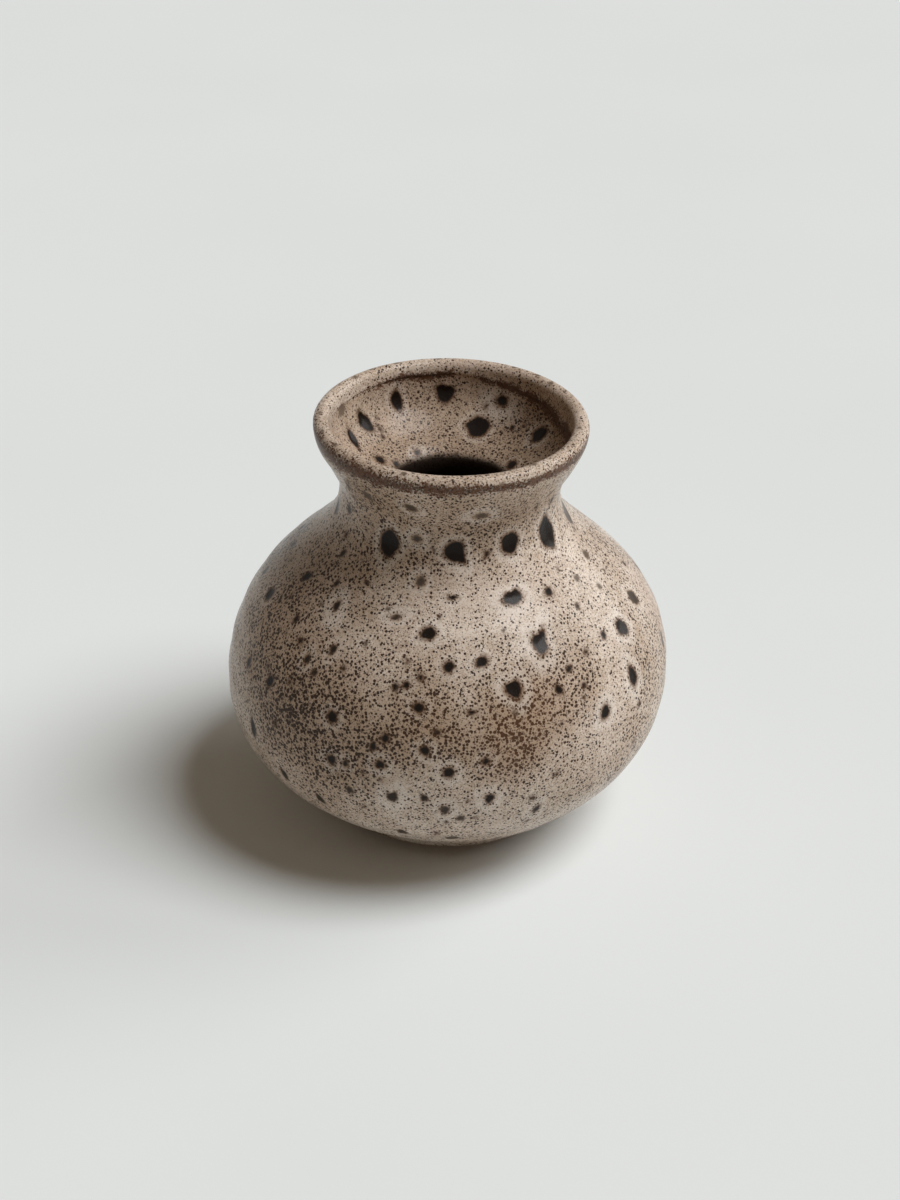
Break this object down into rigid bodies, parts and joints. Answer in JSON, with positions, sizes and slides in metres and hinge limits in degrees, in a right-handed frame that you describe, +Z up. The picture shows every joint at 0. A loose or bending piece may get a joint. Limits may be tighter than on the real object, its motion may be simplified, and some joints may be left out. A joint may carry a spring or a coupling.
{
  "type": "bud vase",
  "caption": "Small round-bellied thrown stoneware bud vase with a pinched collar and a flared, rolled lip, for a few short stems.",
  "frame": {"origin": "centre of the foot ring, on the surface that the vase stands on", "axes": "+Z up along the axis of the pot, from the foot to the mouth; -Y towards the viewer of the rest view"},
  "size_m": [0.09, 0.09, 0.0879],
  "materials": {
    "bare_stoneware": "matt bare fired clay, sanded smooth on the foot ring",
    "speckled_outer_glaze": "satin beige glaze, densely peppered with brown and with dark iron spots that have melted into small glassy pools",
    "speckled_liner_glaze": "the same glaze poured inside, a little thinner and browner"
  },
  "bodies": {
    "root": {"stoneware_body": "bare_stoneware", "outer_glaze": "speckled_outer_glaze", "liner_glaze": "speckled_liner_glaze"}
  },
  "joints": []
}
